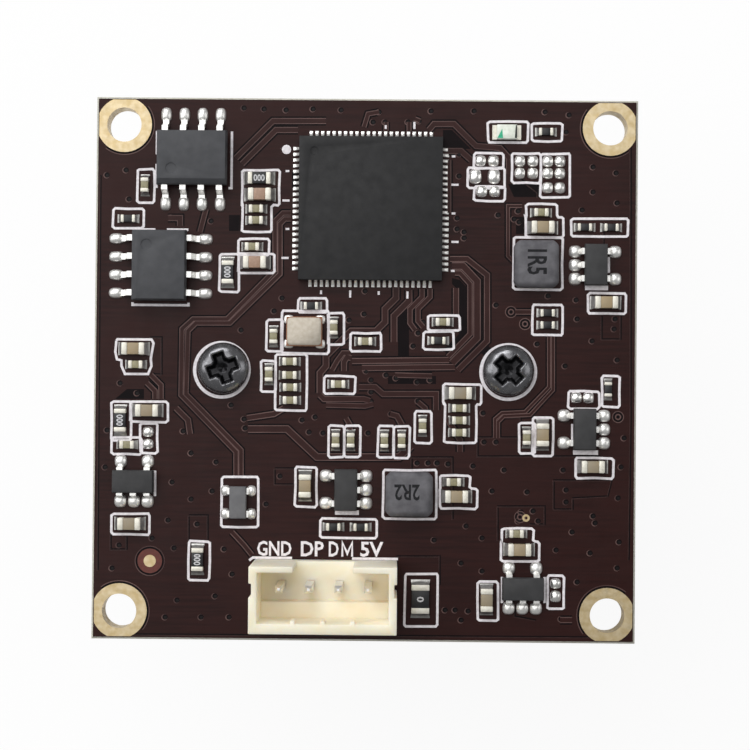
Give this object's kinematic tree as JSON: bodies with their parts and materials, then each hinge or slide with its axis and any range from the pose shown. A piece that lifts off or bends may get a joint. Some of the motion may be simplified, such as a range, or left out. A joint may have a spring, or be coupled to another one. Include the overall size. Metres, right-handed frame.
{
  "type": "board camera module",
  "caption": "Square circuit board with a four-pin header and surface-mount parts, and a screw-focus lens in a holder on its other face.",
  "frame": {"origin": "centre of the square of four corner holes, in the board face that carries the parts", "axes": "+Z out of the parts' face, away from the lens; +X and +Y along the board's sides, header at -Y"},
  "size_m": [0.038, 0.038, 0.0286],
  "materials": {
    "board": "dark brown solder mask, satin",
    "gold": "gold-plated copper",
    "solder": "tinned",
    "package": "moulded epoxy, matt",
    "package_light": "moulded epoxy, matt",
    "ceramic_tan": "fired ceramic",
    "ceramic_dark": "printed glaze on ceramic",
    "coil_grey": "ferrite, matt",
    "lid_metal": "plated lid",
    "lamp": "milky resin",
    "nylon": "ivory moulding",
    "black_screw": "black oxide",
    "holder": "black moulding",
    "lens_metal": "black anodised",
    "sensor_ceramic": "dark ceramic",
    "silicon": "polished silicon",
    "clear_glass": "clear",
    "filter_glass": "coated, pale cyan"
  },
  "bodies": {
    "module": {"circuit_board": "board", "corner_rings": "gold", "bare_lands": "solder", "fiducial_mark": "gold", "processor_body": "package", "processor_joints": "solder", "memory_1_body": "package_light", "memory_1_leads": "solder", "memory_2_body": "package_light", "memory_2_leads": "solder", "diode_array_body": "package_light", "diode_array_leads": "solder", "capacitor_small_bodies": "ceramic_tan", "capacitor_small_ends": "solder", "capacitor_large_bodies": "ceramic_tan", "capacitor_large_ends": "solder", "resistor_small_bodies": "ceramic_dark", "resistor_small_ends": "solder", "resistor_large_bodies": "ceramic_dark", "resistor_large_ends": "solder", "jumper_resistor_bodies": "ceramic_dark", "jumper_resistor_ends": "solder", "crystal_base": "sensor_ceramic", "crystal_lid": "lid_metal", "inductor_1_body": "coil_grey", "inductor_1_terminals": "solder", "inductor_2_body": "coil_grey", "inductor_2_terminals": "solder", "status_light_body": "lamp", "status_light_terminals": "solder", "header_housing": "nylon", "screw_left": "black_screw", "screw_right": "black_screw", "lens_holder": "holder", "sensor_package": "sensor_ceramic", "sensor_die": "silicon", "sensor_glass": "clear_glass", "infrared_filter": "filter_glass", "regulator_1_body": "package_light", "regulator_1_leads": "solder", "regulator_2_body": "package_light", "regulator_2_leads": "solder", "regulator_3_body": "package_light", "regulator_3_leads": "solder", "regulator_4_body": "package_light", "regulator_4_leads": "solder", "regulator_5_body": "package_light", "regulator_5_leads": "solder", "header_pin_1": "solder", "header_pin_2": "solder", "header_pin_3": "solder", "header_pin_4": "solder"},
    "lens": {"lens_barrel": "lens_metal", "lens_retainer": "lens_metal", "lens_front_glass": "clear_glass", "lens_rear_glass": "clear_glass"}
  },
  "joints": [
    {"name": "focus_turn", "type": "hinge", "parent": "module", "child": "lens", "pos_m": [0, 0, -0.0146], "axis": [0, 0, 1], "range_deg": [-180, 180]}
  ]
}
